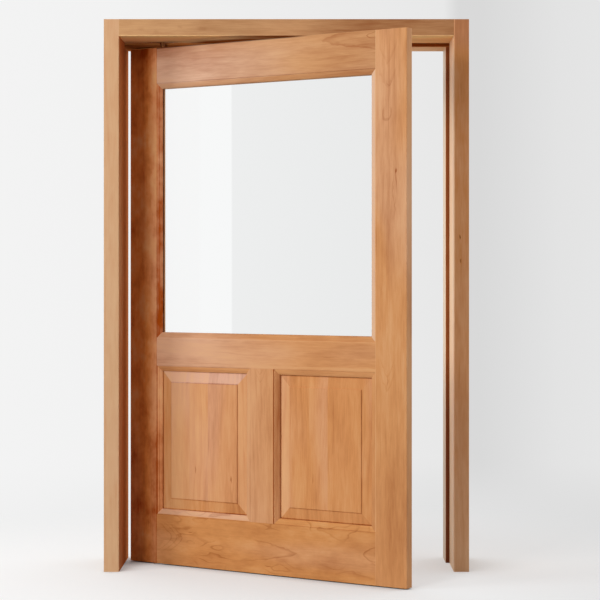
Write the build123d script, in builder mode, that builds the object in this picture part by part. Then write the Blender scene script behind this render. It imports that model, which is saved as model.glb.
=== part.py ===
from build123d import *
from math import atan2, degrees
import os

# Wooden pivot door: a glazed and panelled leaf that turns on top and bottom pivots in a deep timber frame.
# The origin is on the pivot axis at floor level. X runs along the doorway, Y through it and Z up.
# The leaf stands ajar, with its latch edge towards -Y.

# Frame of two jambs and a head
frame_height = 2140
frame_width = 1414
frame_depth = 384
jamb_face = 59
head_face = 65
frame_arris = 4
tongue_length = 14
tongue_thickness = 24
tongue_set_back = 30

# Stops planted on the latch jamb and the head
stop_set_back = 234
stop_thickness = 15

# Leaf and its gaps
leaf_angle = 33.5
pivot_inset = 148
leaf_thickness = 38
leaf_arris = 2
side_gap = 4
top_gap = 22
bottom_gap = 4
seat_gap = 0.5

# Faces of the leaf's members, up to the moulding
stile_face = 134
top_rail_face = 142
lock_rail_face = 110
bottom_rail_face = 195
muntin_face = 112
panel_opening_height = 591

# Moulding stuck on the members, a quirk and a flat round with a small nose, and the groove behind it
sticking_width = 22
sticking_quirk = 2
ovolo_drop = 9
nose_radius = 5
groove_width = 10
groove_depth = 12

# Mortise and tenon joints
tenon_length = 80
tenon_thickness = 12
tenon_shoulder = 12
tenon_haunch = 40
stub_length = 25
stub_shoulder = 15
glue_gap = 0.1
joint_end_gap = 2

# Raised and fielded panels
panel_play = 0.15
panel_edge_gap = 3
bevel_width = 45
bevel_rise = 4.5
field_step = 2.5

# Glazing
glass_thickness = 6
glass_edge_gap = 5
tape_width = 12
tape_set_back = 2
setting_block_length = 100
setting_block_width = 8
setting_block_shares = (-0.25, 0.25)

# Pivots
pin_diameter = 12
pin_reach = 36
pin_chamfer = 1
run_fit = 0.05
push_fit = 0.05
end_fit = 0.2
bush_wall = 3
block_wall = 3
thrust_disc_thickness = 4
shoe_length = 120
shoe_width = 28
shoe_thickness = 4
let_in_fit = 0.1
floor_plate_length = 64
floor_plate_width = 34
floor_plate_thickness = 3
floor_screw_circle = 44
floor_screw_hole = 4.5
floor_screw_count = 2
pin_stem = 26
nut_height = 6
nut_across = 18
collar_height = 7
collar_across = 16
hex_sides = 6

# Screws with flat heads sunk in counterbores
screw_fit = 0.1
drive_share = 0.3
head_height_share = 0.5
shoe_screw_diameter = 4
shoe_screw_head = 8
shoe_screw_length = 35
shoe_screw_shares = (-0.36, 0.36)
frame_screw_diameter = 5
frame_screw_head = 10
frame_screw_length = 110
frame_screw_shares = (-0.3, 0.3)

# Common to all cuts
overrun = 5
quarter_turn = 90

# Places of the frame
opening_left = -pivot_inset - side_gap
opening_right = opening_left + frame_width - 2 * jamb_face
frame_left = opening_left - jamb_face
frame_right = opening_right + jamb_face
soffit = frame_height - head_face
frame_front = -(stop_set_back - seat_gap - leaf_thickness / 2)
frame_back = frame_front + frame_depth
frame_middle = (frame_front + frame_back) / 2
stop_front = frame_front + stop_set_back
stop_depth = frame_depth - stop_set_back
head_middle = soffit + head_face / 2

# Places on the leaf, across from the pivot axis and up from the floor
leaf_left = -pivot_inset
leaf_right = opening_right - side_gap
leaf_middle = (leaf_left + leaf_right) / 2
leaf_bottom = bottom_gap
leaf_top = soffit - top_gap
left_line = leaf_left + stile_face
right_line = leaf_right - stile_face
panel_bottom = leaf_bottom + bottom_rail_face
panel_top = panel_bottom + panel_opening_height
glass_bottom = panel_top + lock_rail_face
glass_top = leaf_top - top_rail_face
muntin_left = leaf_middle - muntin_face / 2
muntin_right = leaf_middle + muntin_face / 2
half_leaf = leaf_thickness / 2
half_groove = groove_width / 2
ovolo_foot = half_leaf - sticking_quirk - ovolo_drop
nose_centre = sticking_width - nose_radius
crown_radius = (nose_centre**2 + ovolo_drop**2 - nose_radius**2) / (2 * (ovolo_drop - nose_radius))
crown_turn = degrees(atan2(nose_centre, crown_radius - ovolo_drop))

# Sizes of the pivot pieces
pin_radius = pin_diameter / 2
bush_bore = pin_radius + run_fit
bush_radius = bush_bore + bush_wall
bush_seat = bush_radius + push_fit
block_side = 2 * (bush_seat + block_wall)
bush_length = pin_reach + end_fit
bore_depth = bush_length + thrust_disc_thickness
block_height = bore_depth + block_wall - shoe_thickness

# The leaf's plane: x across the leaf, y up and z towards the front
leaf_across = Vector(1, 0, 0).rotate(Axis.Z, -leaf_angle)
leaf_forward = Vector(0, -1, 0).rotate(Axis.Z, -leaf_angle)
leaf_plane = Plane(origin=(0, 0, 0), x_dir=leaf_across, z_dir=leaf_forward)

# Seats of the pivot plates, with z into the timber
bottom_seat = Plane(origin=(0, 0, leaf_bottom), x_dir=leaf_across, z_dir=(0, 0, 1))
top_seat = Plane(origin=(0, 0, leaf_top), x_dir=leaf_across, z_dir=(0, 0, -1))
head_seat = Plane(origin=(0, 0, soffit), x_dir=(1, 0, 0), z_dir=(0, 0, 1))

os.makedirs("parts", exist_ok=True)


def finish(piece, name):
    """Labels a piece and writes it."""
    piece.part.label = name
    export_step(piece.part, f"parts/{name}.step")


def edge_plane(start, inward, run):
    """Section plane on an opening's edge: x into the opening, y to the front and z along the edge."""
    return Plane(origin=leaf_plane.from_local_coords((*start, 0)), x_dir=inward, z_dir=run)


def opening_edges(left, bottom, right, top):
    """Section plane and length of each edge of an opening in the leaf."""
    across = leaf_plane.x_dir
    up = leaf_plane.y_dir
    return {
        "left": (edge_plane((left, top), across, -up), top - bottom),
        "bottom": (edge_plane((left, bottom), up, across), right - left),
        "right": (edge_plane((right, bottom), -across, up), top - bottom),
        "top": (edge_plane((right, top), -up, -across), right - left),
    }


glass_edges = opening_edges(left_line, glass_bottom, right_line, glass_top)
left_panel_edges = opening_edges(left_line, panel_bottom, muntin_left, panel_top)
right_panel_edges = opening_edges(muntin_right, panel_bottom, right_line, panel_top)


def mitred(start, end, inward):
    """Outline of a moulded edge from start to end, reaching inward with mitred ends."""
    first = Vector(*start)
    last = Vector(*end)
    along = (last - first).normalized() * sticking_width
    reach = Vector(*inward) * sticking_width
    corners = (first, first + along + reach, last - along + reach, last)
    return [(corner.X, corner.Y) for corner in corners]


def blank(points):
    """Extrudes an outline in the leaf's plane through the leaf's thickness."""
    with BuildSketch(leaf_plane) as outline:
        with BuildLine():
            Polyline(*points, close=True)
        make_face()
    extrude(outline.sketch, amount=half_leaf, both=True)


def cut_ovolo(edge, faces):
    """Cuts the quirk and the round along an edge, on its front, its back or both."""
    plane, length = edge
    with BuildSketch(plane) as waste:
        with BuildLine():
            crown = JernArc((0, ovolo_foot + ovolo_drop), (1, 0), crown_radius, -crown_turn)
            nose = JernArc(crown @ 1, crown % 1, nose_radius, crown_turn - quarter_turn)
            Polyline(
                nose @ 1,
                (sticking_width + overrun, ovolo_foot),
                (sticking_width + overrun, half_leaf + overrun),
                (0, half_leaf + overrun),
                crown @ 0,
            )
        make_face()
        if faces == "both":
            mirror(about=Plane.XZ)
        if faces == "back":
            mirror(about=Plane.XZ, mode=Mode.REPLACE)
    extrude(waste.sketch, amount=length, mode=Mode.SUBTRACT)


def mould_panel_edge(edge):
    """Moulds both faces of an edge and ploughs the panel groove behind the moulding."""
    cut_ovolo(edge, "both")
    plane, length = edge
    with BuildSketch(plane) as groove:
        with Locations((sticking_width - groove_depth, 0)):
            Rectangle(groove_depth + overrun, groove_width, align=(Align.MIN, Align.CENTER))
    extrude(groove.sketch, amount=length, mode=Mode.SUBTRACT)


def mould_glass_edge(edge):
    """Moulds the front of an edge and cuts the glazing rebate right through to the back."""
    cut_ovolo(edge, "front")
    plane, length = edge
    with BuildSketch(plane) as rebate:
        with Locations((0, half_groove)):
            reach = half_groove + half_leaf + overrun
            Rectangle(sticking_width + overrun, reach, align=(Align.MIN, Align.MAX))
    extrude(rebate.sketch, amount=length, mode=Mode.SUBTRACT)


def tenon(line, outward, low, high, fit, end_gap, mode):
    """Adds a tenon beyond a shoulder line, or cuts its mortise with a fit and an end gap."""
    reach = tenon_length + end_gap
    with BuildSketch(leaf_plane) as cheek:
        with Locations((line + outward * reach / 2, (low + high) / 2)):
            Rectangle(reach, high - low + 2 * fit)
    extrude(cheek.sketch, amount=tenon_thickness / 2 + fit, both=True, mode=mode)


def stub(level, upward, fit, end_gap, mode):
    """Adds a stub tenon at a muntin's end, or cuts its mortise with a fit and an end gap."""
    reach = stub_length + end_gap
    with BuildSketch(leaf_plane) as cheek:
        with Locations((leaf_middle, level + upward * reach / 2)):
            Rectangle(muntin_face - 2 * stub_shoulder + 2 * fit, reach)
    extrude(cheek.sketch, amount=tenon_thickness / 2 + fit, both=True, mode=mode)


tenon_levels = {
    "top_rail": (glass_top + tenon_shoulder, leaf_top - tenon_haunch),
    "lock_rail": (panel_top + tenon_shoulder, glass_bottom - tenon_shoulder),
    "bottom_rail": (leaf_bottom + tenon_haunch, panel_bottom - tenon_shoulder),
}


def pivot_plate(seat, fit, mode):
    """Plate with a square block on it, let into the timber from its seat, grown by a fit."""
    with BuildSketch(seat) as plate:
        Rectangle(shoe_length + 2 * fit, shoe_width + 2 * fit)
    extrude(plate.sketch, amount=shoe_thickness, mode=mode)
    with BuildSketch(seat.offset(shoe_thickness)) as block:
        Rectangle(block_side + 2 * fit, block_side + 2 * fit)
    extrude(block.sketch, amount=block_height + fit, mode=mode)


def sunk_screw(diameter, head_diameter, length, fit):
    """Form of a flat-headed screw that points along +Z from its head's flat, grown by a fit."""
    with BuildSketch(Plane.XY) as head_disc:
        Circle(head_diameter / 2 + fit)
    extrude(head_disc.sketch, amount=diameter * head_height_share)
    with BuildSketch(Plane.XY) as shank:
        Circle(diameter / 2 + fit)
    extrude(shank.sketch, amount=length + fit)


def screw_pair(diameter, head_diameter, length):
    """A screw with a square drive recess, and the bore that it needs."""
    with BuildPart() as screw:
        sunk_screw(diameter, head_diameter, length, 0)
        with BuildSketch(Plane.XY) as recess:
            Rectangle(head_diameter * drive_share, head_diameter * drive_share)
        extrude(recess.sketch, amount=head_diameter * drive_share, mode=Mode.SUBTRACT)
    with BuildPart() as bore:
        sunk_screw(diameter, head_diameter, length, screw_fit)
    return screw.part, bore.part


def plate_places(seat):
    """Screw places along a pivot plate, each pointing into the timber."""
    return [seat.location * Pos(shoe_length * share, 0, 0) for share in shoe_screw_shares]


def corner_places(face, inward):
    """Screw places across the depth of a frame corner, each pointing into the head's end."""
    seat = Plane(origin=(face, frame_middle, head_middle), x_dir=(0, 1, 0), z_dir=(inward, 0, 0))
    return [seat.location * Pos(frame_depth * share, 0, 0) for share in frame_screw_shares]


shoe_screw, shoe_screw_bore = screw_pair(shoe_screw_diameter, shoe_screw_head, shoe_screw_length)
frame_screw, frame_screw_bore = screw_pair(frame_screw_diameter, frame_screw_head, frame_screw_length)
left_corner = corner_places(frame_left, 1)
right_corner = corner_places(frame_right, -1)


def bore_places(bore, places):
    """Drills the bores of the screws at their places."""
    with Locations(*places):
        add(bore, mode=Mode.SUBTRACT)


def jamb(inner, outer, places):
    """Jamb with a rounded front arris, a stopped housing for the head and its screw bores."""
    inward = 1 if inner > outer else -1
    low = min(inner, outer)
    with BuildSketch(Plane.XY) as section:
        with Locations((low, frame_front)):
            Rectangle(jamb_face, frame_depth, align=Align.MIN)
    extrude(section.sketch, amount=frame_height)
    with BuildSketch(Plane.XY) as arris:
        with Locations((inner - inward * frame_arris / 2, frame_front + frame_arris / 2)):
            Rectangle(frame_arris, frame_arris)
        with Locations((inner - inward * frame_arris, frame_front + frame_arris)):
            Circle(frame_arris, mode=Mode.SUBTRACT)
    extrude(arris.sketch, amount=soffit, mode=Mode.SUBTRACT)
    housing_depth = tongue_length + joint_end_gap
    with BuildSketch(Plane.XY.offset(head_middle)) as housing:
        with Locations((inner - inward * housing_depth / 2, frame_middle)):
            Rectangle(housing_depth, frame_depth - 2 * tongue_set_back + 2 * glue_gap)
    extrude(housing.sketch, amount=tongue_thickness / 2 + glue_gap, both=True, mode=Mode.SUBTRACT)
    bore_places(frame_screw_bore, places)


# Jambs
with BuildPart() as left_jamb:
    jamb(opening_left, frame_left, left_corner)
finish(left_jamb, "left_jamb")

with BuildPart() as right_jamb:
    jamb(opening_right, frame_right, right_corner)
finish(right_jamb, "right_jamb")

# Head, with a tongue at each end and the top pivot let into its soffit
with BuildPart() as head:
    with BuildSketch(Plane.XY.offset(soffit)):
        with Locations((opening_left, frame_front)):
            Rectangle(opening_right - opening_left, frame_depth, align=Align.MIN)
    extrude(amount=head_face)
    fillet(head.edges().filter_by(Axis.X).group_by(Axis.Z)[0].sort_by(Axis.Y)[0], frame_arris)
    with BuildSketch(Plane.XY.offset(head_middle)):
        with Locations(((opening_left + opening_right) / 2, frame_middle)):
            Rectangle(opening_right - opening_left + 2 * tongue_length, frame_depth - 2 * tongue_set_back)
    extrude(amount=tongue_thickness / 2, both=True)
    pivot_plate(head_seat, let_in_fit, Mode.SUBTRACT)
    bore_places(shoe_screw_bore, plate_places(head_seat))
    bore_places(frame_screw_bore, left_corner + right_corner)
finish(head, "head")

with BuildPart() as head_screws:
    with Locations(*left_corner, *right_corner):
        add(frame_screw)
finish(head_screws, "head_screws")

# Stops, thinner than the gap over the leaf so that its tail swings under the head stop
with BuildPart() as head_stop:
    with BuildSketch(Plane.XY.offset(soffit)):
        with Locations((opening_left, stop_front)):
            Rectangle(opening_right - opening_left, stop_depth, align=Align.MIN)
    extrude(amount=-stop_thickness)
finish(head_stop, "head_stop")

with BuildPart() as right_stop:
    with BuildSketch(Plane.XY):
        with Locations((opening_right, stop_front)):
            Rectangle(stop_thickness, stop_depth, align=(Align.MAX, Align.MIN))
    extrude(amount=soffit - stop_thickness)
finish(right_stop, "right_stop")

# Stiles, moulded round the openings and mortised for the rails
with BuildPart() as left_stile:
    blank([
        (leaf_left, leaf_bottom),
        (left_line, leaf_bottom),
        *mitred((left_line, panel_bottom), (left_line, panel_top), (1, 0)),
        *mitred((left_line, glass_bottom), (left_line, glass_top), (1, 0)),
        (left_line, leaf_top),
        (leaf_left, leaf_top),
    ])
    mould_panel_edge(left_panel_edges["left"])
    mould_glass_edge(glass_edges["left"])
    fillet(left_stile.edges().filter_by(Axis.Z).sort_by(Axis((0, 0, 0), leaf_across))[:2], leaf_arris)
    for low, high in tenon_levels.values():
        tenon(left_line, -1, low, high, glue_gap, joint_end_gap, Mode.SUBTRACT)
    for seat in (bottom_seat, top_seat):
        pivot_plate(seat, let_in_fit, Mode.SUBTRACT)
        bore_places(shoe_screw_bore, plate_places(seat))
finish(left_stile, "left_stile")

with BuildPart() as right_stile:
    blank([
        (leaf_right, leaf_bottom),
        (right_line, leaf_bottom),
        *mitred((right_line, panel_bottom), (right_line, panel_top), (-1, 0)),
        *mitred((right_line, glass_bottom), (right_line, glass_top), (-1, 0)),
        (right_line, leaf_top),
        (leaf_right, leaf_top),
    ])
    mould_panel_edge(right_panel_edges["right"])
    mould_glass_edge(glass_edges["right"])
    fillet(right_stile.edges().filter_by(Axis.Z).sort_by(Axis((0, 0, 0), leaf_across))[-2:], leaf_arris)
    for low, high in tenon_levels.values():
        tenon(right_line, 1, low, high, glue_gap, joint_end_gap, Mode.SUBTRACT)
finish(right_stile, "right_stile")

# Rails, tenoned into the stiles
with BuildPart() as top_rail:
    blank([
        *mitred((left_line, glass_top), (right_line, glass_top), (0, -1)),
        (right_line, leaf_top),
        (left_line, leaf_top),
    ])
    mould_glass_edge(glass_edges["top"])
    tenon(left_line, -1, *tenon_levels["top_rail"], 0, 0, Mode.ADD)
    tenon(right_line, 1, *tenon_levels["top_rail"], 0, 0, Mode.ADD)
    pivot_plate(top_seat, let_in_fit, Mode.SUBTRACT)
    bore_places(shoe_screw_bore, plate_places(top_seat))
finish(top_rail, "top_rail")

with BuildPart() as lock_rail:
    blank([
        *mitred((left_line, glass_bottom), (right_line, glass_bottom), (0, 1)),
        *mitred((right_line, panel_top), (muntin_right, panel_top), (0, -1)),
        *mitred((muntin_left, panel_top), (left_line, panel_top), (0, -1)),
    ])
    mould_glass_edge(glass_edges["bottom"])
    mould_panel_edge(left_panel_edges["top"])
    mould_panel_edge(right_panel_edges["top"])
    tenon(left_line, -1, *tenon_levels["lock_rail"], 0, 0, Mode.ADD)
    tenon(right_line, 1, *tenon_levels["lock_rail"], 0, 0, Mode.ADD)
    stub(panel_top, 1, glue_gap, joint_end_gap, Mode.SUBTRACT)
finish(lock_rail, "lock_rail")

with BuildPart() as bottom_rail:
    blank([
        (left_line, leaf_bottom),
        (right_line, leaf_bottom),
        *mitred((right_line, panel_bottom), (muntin_right, panel_bottom), (0, 1)),
        *mitred((muntin_left, panel_bottom), (left_line, panel_bottom), (0, 1)),
    ])
    mould_panel_edge(left_panel_edges["bottom"])
    mould_panel_edge(right_panel_edges["bottom"])
    tenon(left_line, -1, *tenon_levels["bottom_rail"], 0, 0, Mode.ADD)
    tenon(right_line, 1, *tenon_levels["bottom_rail"], 0, 0, Mode.ADD)
    stub(panel_bottom, -1, glue_gap, joint_end_gap, Mode.SUBTRACT)
    pivot_plate(bottom_seat, let_in_fit, Mode.SUBTRACT)
    bore_places(shoe_screw_bore, plate_places(bottom_seat))
finish(bottom_rail, "bottom_rail")

# Muntin, with a stub tenon at each end
with BuildPart() as muntin:
    blank([
        *mitred((muntin_right, panel_bottom), (muntin_right, panel_top), (1, 0)),
        *mitred((muntin_left, panel_top), (muntin_left, panel_bottom), (-1, 0)),
    ])
    mould_panel_edge(left_panel_edges["right"])
    mould_panel_edge(right_panel_edges["left"])
    stub(panel_top, 1, 0, 0, Mode.ADD)
    stub(panel_bottom, -1, 0, 0, Mode.ADD)
finish(muntin, "muntin")

# Panels, a tongue all round with a bevel rising to a stepped field on both faces
tongue_inset = sticking_width - groove_depth + panel_edge_gap
tongue_half = half_groove - panel_play
field_inset = sticking_width + bevel_width
panel_middle = (panel_bottom + panel_top) / 2
for name, left, right in (
    ("left_panel", left_line, muntin_left),
    ("right_panel", muntin_right, right_line),
):
    width = right - left
    centre = ((left + right) / 2, panel_middle)
    with BuildPart() as panel:
        with BuildSketch(leaf_plane):
            with Locations(centre):
                Rectangle(width - 2 * sticking_width, panel_opening_height - 2 * sticking_width)
        extrude(amount=tongue_half + bevel_rise)
        top_face = panel.faces().sort_by(Axis((0, 0, 0), leaf_forward))[-1]
        chamfer(top_face.edges(), length=bevel_width, length2=bevel_rise, reference=top_face)
        with BuildSketch(leaf_plane):
            with Locations(centre):
                Rectangle(width - 2 * field_inset, panel_opening_height - 2 * field_inset)
        extrude(amount=tongue_half + bevel_rise + field_step)
        mirror(about=leaf_plane)
        with BuildSketch(leaf_plane):
            with Locations(centre):
                Rectangle(width - 2 * tongue_inset, panel_opening_height - 2 * tongue_inset)
        extrude(amount=tongue_half, both=True)
    finish(panel, name)

# Glazing, with tape on both faces of the pane and blocks under it
glass_width = right_line - left_line - 2 * glass_edge_gap
glass_height = glass_top - glass_bottom - 2 * glass_edge_gap
glass_middle = (glass_bottom + glass_top) / 2
half_glass = glass_thickness / 2
with BuildPart() as glass_pane:
    with BuildSketch(leaf_plane):
        with Locations((leaf_middle, glass_middle)):
            Rectangle(glass_width, glass_height)
    extrude(amount=half_glass, both=True)
finish(glass_pane, "glass_pane")

sight_width = right_line - left_line - 2 * sticking_width
sight_height = glass_top - glass_bottom - 2 * sticking_width
tape_reach = tape_set_back + tape_width
for name, face, side in (("front_tape", half_glass, 1), ("back_tape", -half_glass, -1)):
    with BuildPart() as tape:
        with BuildSketch(leaf_plane.offset(face)):
            with Locations((leaf_middle, glass_middle)):
                Rectangle(sight_width + 2 * tape_reach, sight_height + 2 * tape_reach)
                inside = 2 * tape_set_back
                Rectangle(sight_width + inside, sight_height + inside, mode=Mode.SUBTRACT)
        extrude(amount=side * (half_groove - half_glass))
    finish(tape, name)

with BuildPart() as setting_blocks:
    with BuildSketch(leaf_plane):
        places = [(leaf_middle + glass_width * share, glass_bottom) for share in setting_block_shares]
        with Locations(*places):
            Rectangle(setting_block_length, glass_edge_gap, align=(Align.CENTER, Align.MIN))
    extrude(amount=setting_block_width / 2, both=True)
finish(setting_blocks, "setting_blocks")

# Glazing beads on the back, mitred and moulded as the members are
bead_outlines = {
    "bead_left": ("left", (left_line, glass_bottom), (left_line, glass_top), (1, 0)),
    "bead_right": ("right", (right_line, glass_bottom), (right_line, glass_top), (-1, 0)),
    "bead_bottom": ("bottom", (left_line, glass_bottom), (right_line, glass_bottom), (0, 1)),
    "bead_top": ("top", (left_line, glass_top), (right_line, glass_top), (0, -1)),
}
for name, (edge, start, end, inward) in bead_outlines.items():
    with BuildPart() as bead:
        with BuildSketch(leaf_plane.offset(-half_groove)):
            with BuildLine():
                Polyline(*mitred(start, end, inward), close=True)
            make_face()
        extrude(amount=half_groove - half_leaf)
        cut_ovolo(glass_edges[edge], "back")
    finish(bead, name)

# Pivot sockets let into the leaf's bottom and top edges
for name, seat in (("bottom_shoe", bottom_seat), ("top_shoe", top_seat)):
    with BuildPart() as shoe:
        pivot_plate(seat, 0, Mode.ADD)
        with BuildSketch(seat):
            Circle(bush_seat)
        extrude(amount=bore_depth, mode=Mode.SUBTRACT)
        bore_places(shoe_screw_bore, plate_places(seat))
    finish(shoe, name)

for name, seat in (("bottom_bush", bottom_seat), ("top_bush", top_seat)):
    with BuildPart() as bush:
        with BuildSketch(seat):
            Circle(bush_radius)
            Circle(bush_bore, mode=Mode.SUBTRACT)
        extrude(amount=bush_length)
    finish(bush, name)

with BuildPart() as thrust_disc:
    with BuildSketch(bottom_seat.offset(bush_length)):
        Circle(bush_radius)
    extrude(amount=thrust_disc_thickness)
finish(thrust_disc, "thrust_disc")

for name, seat in (
    ("bottom_shoe_screws", bottom_seat),
    ("top_shoe_screws", top_seat),
    ("head_plate_screws", head_seat),
):
    with BuildPart() as plate_screws:
        with Locations(*plate_places(seat)):
            add(shoe_screw)
    finish(plate_screws, name)

# Bottom pivot on the floor, a drilled plate with an upright spindle through it
with BuildPart() as floor_plate:
    with BuildSketch(Plane.XY):
        Rectangle(floor_plate_length, floor_plate_width)
        Circle(pin_radius + push_fit, mode=Mode.SUBTRACT)
        with PolarLocations(floor_screw_circle / 2, floor_screw_count):
            Circle(floor_screw_hole / 2, mode=Mode.SUBTRACT)
    extrude(amount=floor_plate_thickness)
finish(floor_plate, "floor_plate")

with BuildPart() as floor_spindle:
    with BuildSketch(Plane.XY):
        Circle(pin_radius)
    extrude(amount=leaf_bottom + pin_reach)
    chamfer(floor_spindle.edges().group_by(Axis.Z)[-1], pin_chamfer)
finish(floor_spindle, "floor_spindle")

# Top pivot in the head, a screwed pin with a hexagon collar and a lock nut under the plate
with BuildPart() as head_plate:
    pivot_plate(head_seat, 0, Mode.ADD)
    with BuildSketch(head_seat):
        Circle(pin_radius + push_fit)
    extrude(amount=bore_depth, mode=Mode.SUBTRACT)
    bore_places(shoe_screw_bore, plate_places(head_seat))
finish(head_plate, "head_plate")

with BuildPart() as top_pin:
    with BuildSketch(Plane.XY.offset(leaf_top - pin_reach)):
        Circle(pin_radius)
    extrude(amount=pin_reach + top_gap + pin_stem)
    chamfer(top_pin.edges().group_by(Axis.Z)[0], pin_chamfer)
    with BuildSketch(Plane.XY.offset(soffit - nut_height)):
        RegularPolygon(collar_across / 2, hex_sides, major_radius=False)
    extrude(amount=-collar_height)
finish(top_pin, "top_pin")

with BuildPart() as lock_nut:
    with BuildSketch(Plane.XY.offset(soffit)):
        RegularPolygon(nut_across / 2, hex_sides, major_radius=False)
        Circle(pin_radius + push_fit, mode=Mode.SUBTRACT)
    extrude(amount=-nut_height)
finish(lock_nut, "lock_nut")
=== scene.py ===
"""Looks of a wooden pivot door and its frame.

Timber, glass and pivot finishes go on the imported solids, over a pale floor and in soft light.
"""
from collections import namedtuple
from math import radians

import bpy
import numpy as np
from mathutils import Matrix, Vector

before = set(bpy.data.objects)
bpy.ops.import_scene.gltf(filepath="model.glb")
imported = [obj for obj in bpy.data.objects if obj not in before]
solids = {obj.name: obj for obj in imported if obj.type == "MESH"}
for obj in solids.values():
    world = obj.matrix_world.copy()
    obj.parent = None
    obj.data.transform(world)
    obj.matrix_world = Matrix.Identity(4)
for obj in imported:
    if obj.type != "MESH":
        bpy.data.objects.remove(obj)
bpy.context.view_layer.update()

scene = bpy.context.scene
scene.view_settings.view_transform = "Standard"

# Turn of a board's grain about the upright axis: the leaf stands ajar, the frame does not
leaf_turn = radians(33.5)
no_turn = 0.0


def tint(red, green, blue):
    """Linear colour of a tone given in 0 to 255.

    The low end is divided by 12.92, and the rest is raised to the power 2.4.
    """
    share = np.array([red, green, blue]) / 255
    linear = np.where(share <= 0.04045, share / 12.92, ((share + 0.055) / 1.055) ** 2.4)
    return (*linear.tolist(), 1.0)


def grey(level):
    return tint(level, level, level)


class Finish:
    """One finish in the making. Each call adds a node, feeds it and returns what it gives out."""

    def __init__(self, tree):
        self.tree = tree
        tree.nodes.clear()

    def feed(self, socket, value):
        """Links a node's output to a socket, or sets a plain value on it."""
        if isinstance(value, bpy.types.NodeSocket):
            self.tree.links.new(value, socket)
        else:
            socket.default_value = value

    def node(self, kind, fed=None, **settings):
        made = self.tree.nodes.new("ShaderNode" + kind)
        for name, value in settings.items():
            setattr(made, name, value)
        for name, value in (fed or {}).items():
            self.feed(made.inputs[name], value)
        return made

    def maths(self, operation, *values):
        made = self.node("Math", operation=operation)
        for socket, value in zip(made.inputs, values):
            self.feed(socket, value)
        return made.outputs[0]

    def add(self, *values):
        total = values[0]
        for value in values[1:]:
            total = self.maths("ADD", total, value)
        return total

    def times(self, first, second):
        return self.maths("MULTIPLY", first, second)

    def less(self, first, second):
        return self.maths("SUBTRACT", first, second)

    def larger(self, first, second):
        return self.maths("MAXIMUM", first, second)

    def scaled(self, value, share, shift=0.0):
        """A value times a share, plus a shift."""
        return self.maths("MULTIPLY_ADD", value, share, shift)

    def length(self, first, second):
        """Root of the sum of two squares."""
        return self.maths("SQRT", self.add(self.times(first, first), self.times(second, second)))

    def ease(self, value, low, high, start=0.0, end=1.0):
        """Smooth step from start to end as the value goes from low to high."""
        fed = {"Value": value, "From Min": low, "From Max": high, "To Min": start, "To Max": end}
        return self.node("MapRange", fed, interpolation_type="SMOOTHSTEP").outputs[0]

    def fade(self, value, low, high):
        """Smooth step from one to nothing as the value goes from low to high."""
        return self.ease(value, low, high, 1.0, 0.0)

    def cloud(self, at, stretch, detail=2.0, rough=0.5):
        """Noise, about 0.5 in the middle, with a number of waves a metre on each axis."""
        spread = self.node("VectorMath", operation="MULTIPLY")
        self.feed(spread.inputs[0], at)
        spread.inputs[1].default_value = stretch
        fed = {"Vector": spread.outputs[0], "Scale": 1.0, "Detail": detail, "Roughness": rough}
        return self.node("TexNoise", fed).outputs[0]

    def mix(self, share, first, second):
        """Colour from the first, at no share, to the second, at a full share."""
        made = self.node("Mix", data_type="RGBA")
        share_in, first_in, second_in = made.inputs[0], made.inputs[6], made.inputs[7]
        for socket, value in ((share_in, share), (first_in, first), (second_in, second)):
            self.feed(socket, value)
        return made.outputs[2]

    def ramp(self, value, stops):
        """Colour read from stops, each a place from 0 to 1 and its colour."""
        made = self.node("ValToRGB", {"Fac": value})
        elements = made.color_ramp.elements
        elements.remove(elements[1])
        for number, (place, colour) in enumerate(stops):
            stop = elements[0] if number == 0 else elements.new(place)
            stop.position = place
            stop.color = colour
        return made.outputs[0]

    def axes(self, vector):
        return self.node("SeparateXYZ", {"Vector": vector}).outputs

    def point(self, *parts):
        return self.node("CombineXYZ", dict(zip("XYZ", parts))).outputs[0]

    def place(self):
        return self.node("TexCoord").outputs["Object"]

    def bump(self, shader, height, strength, distance):
        """Raises the shader's surface by a height, at a strength, up to a distance in metres."""
        fed = {"Height": height, "Strength": strength, "Distance": distance}
        self.feed(shader.inputs["Normal"], self.node("Bump", fed).outputs[0])

    def blend(self, share, first, second):
        """Surface from the first shader, at no share, to the second, at a full share."""
        return self.node("MixShader", {0: share, 1: first.outputs[0], 2: second.outputs[0]})

    def surface(self, shader):
        made = self.node("OutputMaterial", is_active_output=True)
        self.tree.links.new(shader.outputs[0], made.inputs["Surface"])


def new_finish(name):
    material = bpy.data.materials.new(name)
    material.use_nodes = True
    return material, Finish(material.node_tree)


def dress(material, *names):
    """Gives a finish to solids by name."""
    for name in names:
        mesh = solids[name].data
        mesh.materials.clear()
        mesh.materials.append(material)


# What is drawn on a board. Lengths are in metres, and a share is a part of the whole tone. An arch
# opens one way or the other along the grain from its tip, and is blunter the less it bends.
Arch = namedtuple("Arch", "tip middle way bend gap count width share")
Oval = namedtuple("Oval", "tip middle length width share")
# A painted line is a pale highlight where its share is above nothing, and shade in a crease where it is below
Line = namedtuple("Line", "axis middle width share")
Stave = namedtuple("Stave", "seam step")
# A bevel's share and rosiness are painted light and shade on it, and its shadow is a painted shadow line at the
# field's foot
Bevel = namedtuple("Bevel", "share rosier shadow")

# How a drawn arch comes in and fades over one gap, and how its nest begins
arch_in, arch_out, nest_in = (0.0, 0.07), (0.08, 0.36), (-0.001, 0.001)
# How an oval mark and a loop's line fade outwards, and where the loop is open
mark_out, loop_out, loop_open = (0.2, 1.0), (0.05, 0.22), (0.1, 0.8)
# How a panel's bevels meet at the mitres, where they begin, and the shadow line at the field's foot
mitre, bevel_in, foot_in, foot_out = (-0.001, 0.001), (-0.0005, 0.001), (-0.001, 0.0005), (0.001, 0.006)


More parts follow.
